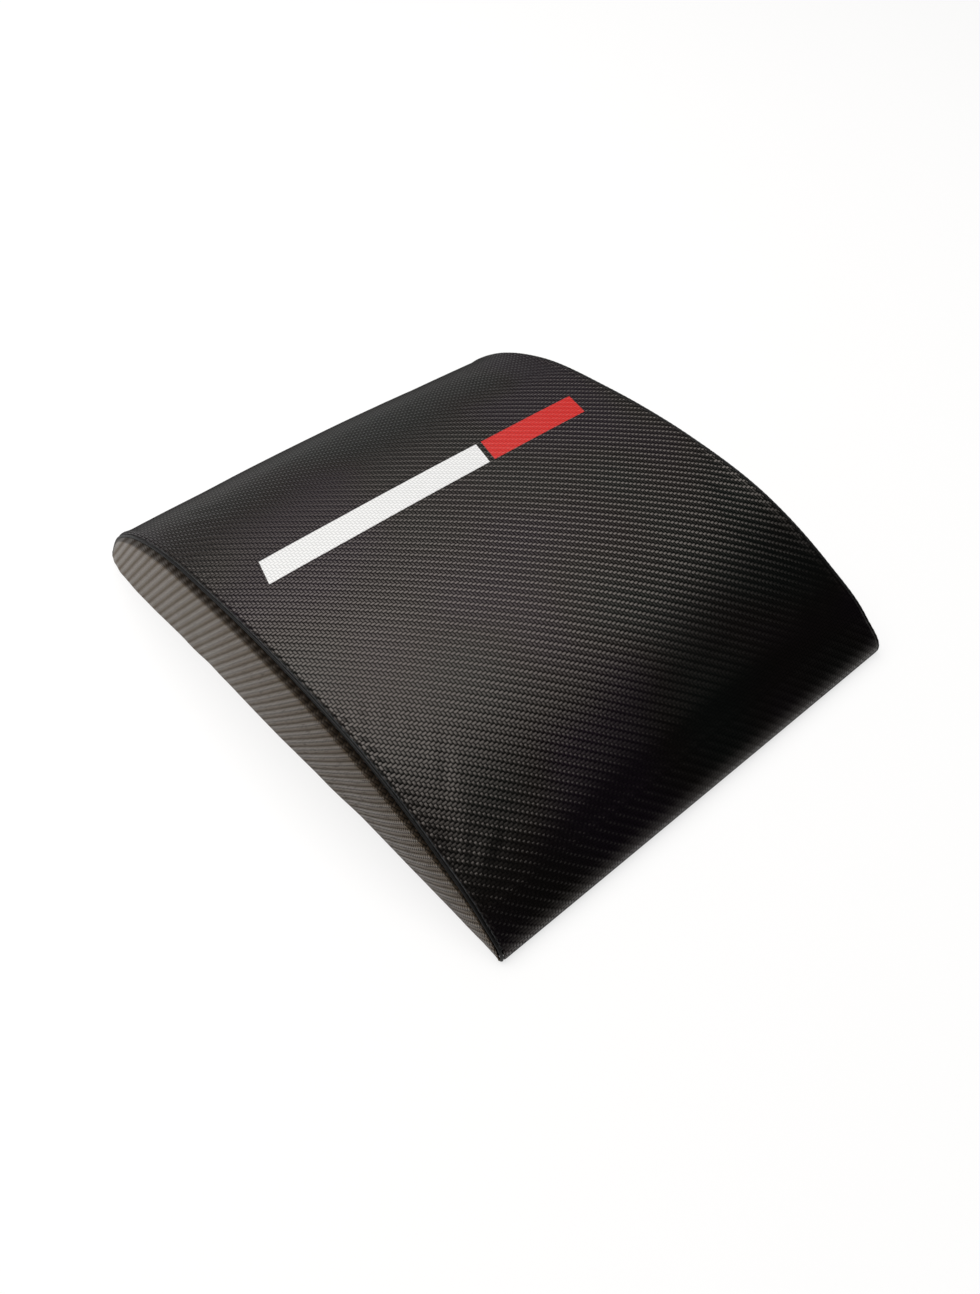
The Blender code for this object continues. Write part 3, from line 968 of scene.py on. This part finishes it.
def read_lift(lifts, across, along):
    """The lift between the coarse grid's places."""
    columns, rows = CLOTH_CELLS
    column, row = min(int(across * columns), columns - 1), min(int(along * rows), rows - 1)
    share_across, share_along = across * columns - column, along * rows - row
    near = between(share_across, lifts[row][column], lifts[row][column + 1])
    far = between(share_across, lifts[row + 1][column], lifts[row + 1][column + 1])
    return between(share_along, near, far)


def make_top_cover():
    lifts = cover_lifts()

    def place(across, along):
        lift = read_lift(lifts, across, along) if lifts else 0.0
        return top_place(across, along, lift)

    piece = grid_piece("top_cover", COVER_CELLS, place)
    thicken_inwards(piece)
    shade(piece, degrees=50)
    dress(piece, top_vinyl(), "carbon_vinyl", "mat", "top_panel")


def make_side_covers():
    finish = side_vinyl()
    shoulder_places = []

    def place(along, up):
        point, cut, down_shoulder = side_place(along, 1 - up)
        shoulder_places.append(down_shoulder)
        return point, cut

    left = grid_piece("left_side_cover", SIDE_CELLS, place)
    measured = left.data.attributes.new("down_shoulder", "FLOAT", "POINT")
    measured.data.foreach_set("value", shoulder_places)
    face_left(left)
    right = mirror_across(left, "right_side_cover")
    for piece, node in ((left, "left_side_panel"), (right, "right_side_panel")):
        thicken_inwards(piece)
        shade(piece, degrees=50)
        dress(piece, finish, "carbon_vinyl", "mat", node)


def face_left(piece):
    """Turns the faces so that they look out of the mat's left side."""
    lean = sum(face.normal.x * face.area for face in piece.data.polygons)
    if lean > 0:
        piece.data.flip_normals()


def welt_place(around, along):
    """A point on the left welt, which its stitches draw in a little."""
    distance = between(along, WELT_END, PROFILE.length - WELT_END)
    middle = seam_point(distance)
    outward = PROFILE.outward(distance)
    angle = 2 * math.pi * around
    pull = 0.5 + 0.5 * math.cos(2 * math.pi * distance / STITCH_PITCH)
    radius = WELT_RADIUS - STITCH_DIP * pull
    side = Vector((1, 0, 0)) * math.cos(angle) + outward * math.sin(angle)
    return middle + side * radius, (around * 2 * math.pi * WELT_RADIUS, distance)


def make_welts():
    left = grid_piece("left_welt", WELT_CELLS, welt_place)
    edit(
        left,
        (bpy.ops.mesh.remove_doubles, {"threshold": 1e-6}),
        (bpy.ops.mesh.fill_holes, {"sides": 20}),
        (bpy.ops.mesh.normals_make_consistent, {"inside": False}),
    )
    right = mirror_across(left, "right_welt")
    finish = piping_vinyl()
    for piece, node in ((left, "left_seam_welt"), (right, "right_seam_welt")):
        shade(piece, degrees=60)
        dress(piece, finish, "welt_vinyl", "mat", node)


def base_place(front, rear):
    """Places a grid on the base between two lines across the mat, inside the side panels' feet."""

    def place(across, along):
        y = between(along, front, rear)
        half = SEAM_X + foot_reach(y) - VINYL - WELT_GAP
        x = between(across, -half, half)
        return Vector((x, y, GRIP_DOT_HEIGHT)), (x, y)

    return place


def make_base():
    fabric = woven_fabric("grip_fabric", colour=(0.022, 0.022, 0.023))
    rubber = grip_rubber()
    thread = sewing_thread()
    front = PROFILE.points[0].y + VINYL + WELT_GAP
    rear = PROFILE.points[-1].y - VINYL - WELT_GAP
    panels = (
        ("base_main", front, OPENING_FRONT, "base_main_panel", OPENING_FRONT - ZIP_STITCH_MARGIN),
        ("base_rear", OPENING_REAR, rear, "base_rear_panel", OPENING_REAR + ZIP_STITCH_MARGIN),
    )
    for name, start, end, node, stitch_y in panels:
        cells = (BASE_COLUMNS, max(round((end - start) / BASE_CELL), BASE_FEWEST_ROWS))
        panel = grid_piece(name + "_fabric", cells, base_place(start, end))
        face_outwards(panel)
        apply_modifier(panel, "SOLIDIFY", thickness=FABRIC_THICKNESS, offset=1)
        box_up(panel)
        shade(panel)
        dress(panel, fabric, "grip_fabric", "mat", node)
        dress(make_grip_dots(name + "_grip_dots", start, end), rubber, "grip_fabric", "mat")
        dress(make_zip_stitches(name + "_zip_stitches", stitch_y), thread, "zip_tape", "mat")
    make_zip_end_patches(fabric)


def make_zip_end_patches(fabric):
    """Fabric that closes the ends of the zip's channel, up to its raised tape."""
    middle = (OPENING_FRONT + OPENING_REAR) / 2
    inner = TAPE_HALF + PATCH_GAP
    outer = SEAM_X + foot_reach(middle) - VINYL - WELT_GAP
    depth = OPENING_REAR - OPENING_FRONT - 2 * PATCH_GAP
    height = TAPE_TOP - GRIP_DOT_HEIGHT
    patches = []
    for side in (-1, 1):
        place = (side * (inner + outer) / 2, middle, GRIP_DOT_HEIGHT + height / 2)
        size = (outer - inner, depth, height)
        patch = add_piece("patch", bpy.ops.mesh.primitive_cube_add, size=1, location=place, scale=size)
        apply_place(patch)
        for vertex in patch.data.vertices:
            if vertex.co.z > place[2]:
                vertex.co.y = between(PATCH_TOP_SHARE, middle, vertex.co.y)
        apply_modifier(patch, "BEVEL", width=PATCH_ROUNDING, segments=1)
        patches.append(patch)
    piece = join("zip_end_patches", patches)
    shade(piece)
    dress(piece, fabric, "grip_fabric", "mat")


def box_up(panel):
    """Sets the panel's wall between the grip dots' roots and the fabric's upper face."""
    low = min(vertex.co.z for vertex in panel.data.vertices)
    high = max(vertex.co.z for vertex in panel.data.vertices)
    for vertex in panel.data.vertices:
        share = (vertex.co.z - low) / (high - low)
        vertex.co.z = between(share, GRIP_DOT_HEIGHT, BASE_TOP)
    face_outwards(panel)


def make_grip_dots(name, start, end):
    """Rubber dots in staggered rows, over the whole panel."""
    reach = SEAM_X - GRIP_DOT_MARGIN
    columns = int(2 * reach / GRIP_DOT_PITCH)
    rows = int((end - start - 2 * GRIP_DOT_MARGIN) / GRIP_DOT_PITCH)
    left = -columns * GRIP_DOT_PITCH / 2
    front = (start + end - rows * GRIP_DOT_PITCH) / 2
    layers = []
    for shift in (0, 0.5):
        place = (left + shift * GRIP_DOT_PITCH, front + shift * GRIP_DOT_PITCH, GRIP_DOT_HEIGHT / 2)
        dot = add_piece(
            "dot", bpy.ops.mesh.primitive_cone_add, vertices=10, depth=GRIP_DOT_HEIGHT, location=place,
            radius1=GRIP_DOT_RADIUS * GRIP_DOT_ROOT_SHARE, radius2=GRIP_DOT_RADIUS,
        )
        apply_place(dot)
        rounding = GRIP_DOT_HEIGHT * GRIP_DOT_ROUNDING_SHARE
        apply_modifier(dot, "BEVEL", width=rounding, segments=1, limit_method="ANGLE")
        repeat(dot, columns + (shift == 0), (GRIP_DOT_PITCH, 0, 0))
        repeat(dot, rows + (shift == 0), (0, GRIP_DOT_PITCH, 0))
        layers.append(dot)
    dots = join(name, layers)
    shade(dots, degrees=40)
    return dots


def make_zip_stitches(name, y):
    """A row of stitches that holds the zip's tape to the base."""
    count = int(2 * (TAPE_HALF - ZIP_STITCH_END_MARGIN) / ZIP_STITCH_PITCH)
    first = (-count * ZIP_STITCH_PITCH / 2, y, GRIP_DOT_HEIGHT)
    sphere = {"segments": 8, "ring_count": 6, "radius": 1, "location": first}
    stitch = add_piece(name, bpy.ops.mesh.primitive_uv_sphere_add, **sphere)
    stitch.scale = (ZIP_STITCH_LENGTH / 2, ZIP_STITCH_RADIUS, ZIP_STITCH_RADIUS)
    apply_place(stitch)
    repeat(stitch, count + 1, (ZIP_STITCH_PITCH, 0, 0))
    shade(stitch, degrees=60)
    return stitch


def make_zip_coil(name, low, high, side):
    """A row of nylon loops, each leaning into the gaps of the other coil's row."""
    count = int((COIL_END.x - COIL_START.x) / COIL_PITCH)
    width, height = high.y - low.y, high.z - low.z
    middle = (low + high) / 2
    first = (low.x + COIL_PITCH / 2 + side * COIL_PITCH / 4, middle.y, middle.z)
    loop = add_piece(
        name, bpy.ops.mesh.primitive_torus_add, location=first, rotation=(0, math.pi / 2, 0),
        major_segments=10, minor_segments=5, major_radius=0.5, minor_radius=COIL_WIRE_SHARE,
    )
    whole = 1 + 2 * COIL_WIRE_SHARE
    wire = COIL_PITCH / (2 * COIL_WIRE_SHARE) * COIL_FLATTENING
    loop.scale = (height / whole, width / whole, wire)
    apply_place(loop)
    repeat(loop, count - 1, (COIL_PITCH, 0, 0))
    shade(loop, degrees=60)
    return loop


def soft_copy(node, name, radius):
    """The node's shape with its edges rounded."""
    piece = node_copy(node, name)
    edit(
        piece,
        (bpy.ops.mesh.remove_doubles, {"threshold": 1e-5}),
        (bpy.ops.mesh.dissolve_limited, {"angle_limit": math.radians(1)}),
    )
    apply_modifier(
        piece, "BEVEL", width=radius, segments=2, limit_method="ANGLE",
        angle_limit=math.radians(30), use_clamp_overlap=True,
    )
    shade(piece, degrees=40)
    return piece


def make_zip():
    nylon = coil_nylon()
    zinc = painted_zinc()
    tape = zip_tape()
    for node in ("zip_front_tape", "zip_rear_tape"):
        set_finish(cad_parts[node], tape)
    coils = (
        ("front_coil", COIL_START, COIL_END, 1, "zip_front_coil"),
        ("rear_coil", REAR_COIL_START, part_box("zip_rear_coil")[1], -1, "zip_rear_coil"),
    )
    for name, low, high, side, node in coils:
        dress(make_zip_coil(name, low, high, side), nylon, "zip_coil", "mat", node)
    metal_parts = (
        ("zip_front_top_stop", "front_top_stop", STOP_ROUNDING, "mat"),
        ("zip_rear_top_stop", "rear_top_stop", STOP_ROUNDING, "mat"),
        ("zip_bottom_stop", "bottom_stop", STOP_ROUNDING, "mat"),
        ("zip_slider", "slider", SLIDER_ROUNDING, "slider"),
        ("zip_pull_tab", "pull_tab", TAB_ROUNDING, "pull_tab"),
    )
    for node, name, radius, body in metal_parts:
        dress(soft_copy(node, name, radius), zinc, "zip_metal", body, node)


def make_foam_block():
    """The block inside the cover, kept clear of the side panels' inner faces."""
    panel = bpy.data.objects["left_side_cover"]
    bpy.context.view_layer.update()
    piece = node_copy("foam_core", "foam_block")
    edit(piece, (bpy.ops.mesh.remove_doubles, {"threshold": 1e-5}))
    for vertex in piece.data.vertices:
        if abs(vertex.co.x) > SEAM_X - FOAM_SIDE:
            start = Vector((FOAM_SIDE - SEAM_X, vertex.co.y, vertex.co.z))
            found, wall, _, _ = panel.ray_cast(start, Vector((-1, 0, 0)))
            reach = -wall.x - FOAM_GAP if found else SEAM_X - VINYL
            vertex.co.x = math.copysign(min(abs(vertex.co.x), reach), vertex.co.x)
    shade(piece, degrees=30)
    dress(piece, open_foam(), "foam", "mat", "foam_core")


def make_camera():
    back = Vector((
        math.sin(VIEW_AZIMUTH) * math.cos(VIEW_ELEVATION),
        -math.cos(VIEW_AZIMUTH) * math.cos(VIEW_ELEVATION),
        math.sin(VIEW_ELEVATION),
    ))
    level = Vector((math.cos(VIEW_AZIMUTH), math.sin(VIEW_AZIMUTH), 0))
    upright = back.cross(level)
    right = level * math.cos(VIEW_ROLL) + upright * math.sin(VIEW_ROLL)
    up = upright * math.cos(VIEW_ROLL) - level * math.sin(VIEW_ROLL)
    camera = bpy.data.objects.new("camera", bpy.data.cameras.new("camera"))
    bpy.context.scene.collection.objects.link(camera)
    place = back * VIEW_DISTANCE - right * VIEW_RIGHT - up * VIEW_UP
    turn = Matrix((right, up, back)).transposed().to_4x4()
    camera.matrix_world = Matrix.Translation(place) @ turn
    camera.data.sensor_width = SENSOR
    camera.data.lens = SENSOR * FOCAL_PIXELS / PHOTO_HEIGHT
    camera.data.clip_start = 0.01
    bpy.context.scene.camera = camera


def background_rays(shader):
    """1 for rays that show the background itself, from the camera or through a reflection."""
    rays = shader.node("ShaderNodeLightPath").outputs
    names = ("Is Camera Ray", "Is Glossy Ray", "Is Transmission Ray")
    camera, glossy, through = (Number(shader, rays[name]) for name in names)
    return camera.largest(glossy).largest(through)


def make_floor():
    floor = add_piece("studio_floor", bpy.ops.mesh.primitive_plane_add, size=FLOOR_SIZE)
    finish = Finish("studio_floor", Roughness=0.9)
    shown = background_rays(finish)
    finish.put("Base Color", finish.mix(shown, FLOOR_LIT, FLOOR_SHOWN))
    finish.put("Emission Color", (1.0, 1.0, 1.0))
    finish.put("Emission Strength", shown * FLOOR_GLOW)
    floor.data.materials.append(finish.material)


def make_light():
    softbox = bpy.data.objects.new("softbox", bpy.data.lights.new("softbox", "AREA"))
    softbox.data.shape = "RECTANGLE"
    softbox.data.size = SOFTBOX_WIDTH
    softbox.data.size_y = SOFTBOX_DEPTH
    softbox.data.energy = SOFTBOX_POWER
    bpy.context.scene.collection.objects.link(softbox)
    softbox.location = SOFTBOX_PLACE


def make_world():
    """A dim room with a pale haze low down, paler towards the mat's rear."""
    world = bpy.data.worlds.new("studio")
    bpy.context.scene.world = world
    world.use_nodes = True
    shader = Shader(world.node_tree)
    direction = shader.node("ShaderNodeTexCoord").outputs["Generated"]
    _, rearward, height = shader.split(direction)
    raised = shader.step(height, 0, HAZE_HEIGHT)
    front, rear = between(raised, *FRONT_LEVELS), between(raised, *REAR_LEVELS)
    level = between(shader.step(rearward, *REARWARD_PLACES), front, rear)
    shader.feed(world.node_tree.nodes["Background"].inputs["Strength"], level)
    shader.feed(world.node_tree.nodes["Background"].inputs["Color"], (1, 1, 1))


make_camera()
make_floor()
make_light()
make_world()
make_top_cover()
make_side_covers()
make_foam_block()
make_welts()
make_base()
make_zip()

bpy.context.scene.view_settings.view_transform = "Standard"
